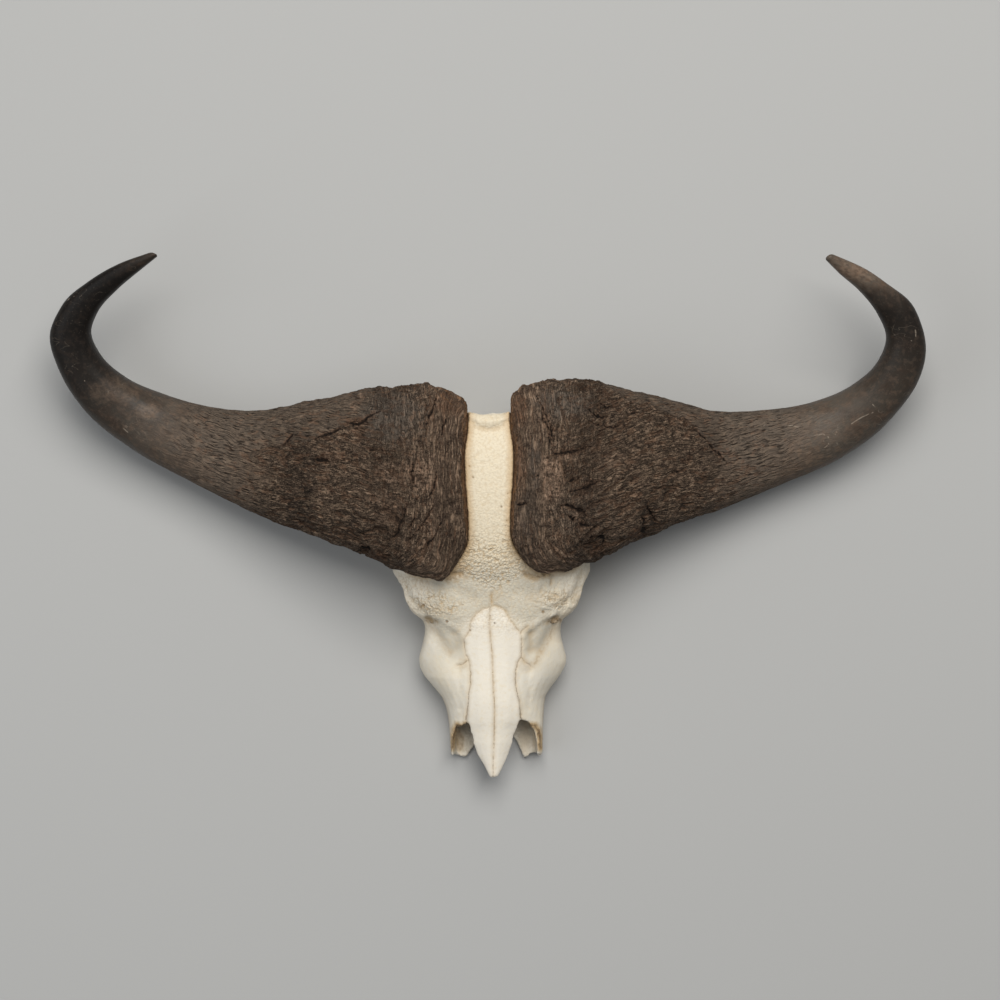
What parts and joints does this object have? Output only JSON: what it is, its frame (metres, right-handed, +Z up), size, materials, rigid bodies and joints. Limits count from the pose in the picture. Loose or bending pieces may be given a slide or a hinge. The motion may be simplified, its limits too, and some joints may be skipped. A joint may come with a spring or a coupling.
{
  "type": "cape buffalo skull",
  "caption": "Upper skull of a horned bovid with a flat sawn back, broad rough horn bosses either side of a bone strip, and horns that sweep out and hook upward.",
  "frame": {"origin": "centre of the bounding box in plan, on the surface that the flat sawn back rests on", "axes": "+X across the horns toward horn_right, +Y from the nose toward the poll and the horn tips, +Z up from the sawn back toward the forehead"},
  "size_m": [1.0328, 0.6188, 0.1858],
  "materials": {
    "bone": "dry cream bone, matt, slightly rough",
    "horn_sheath": "dark brown keratin, bark-like on the bosses and satin on the hooks"
  },
  "bodies": {
    "root": {"skull": "bone", "horn_left": "horn_sheath", "horn_right": "horn_sheath"}
  },
  "joints": []
}
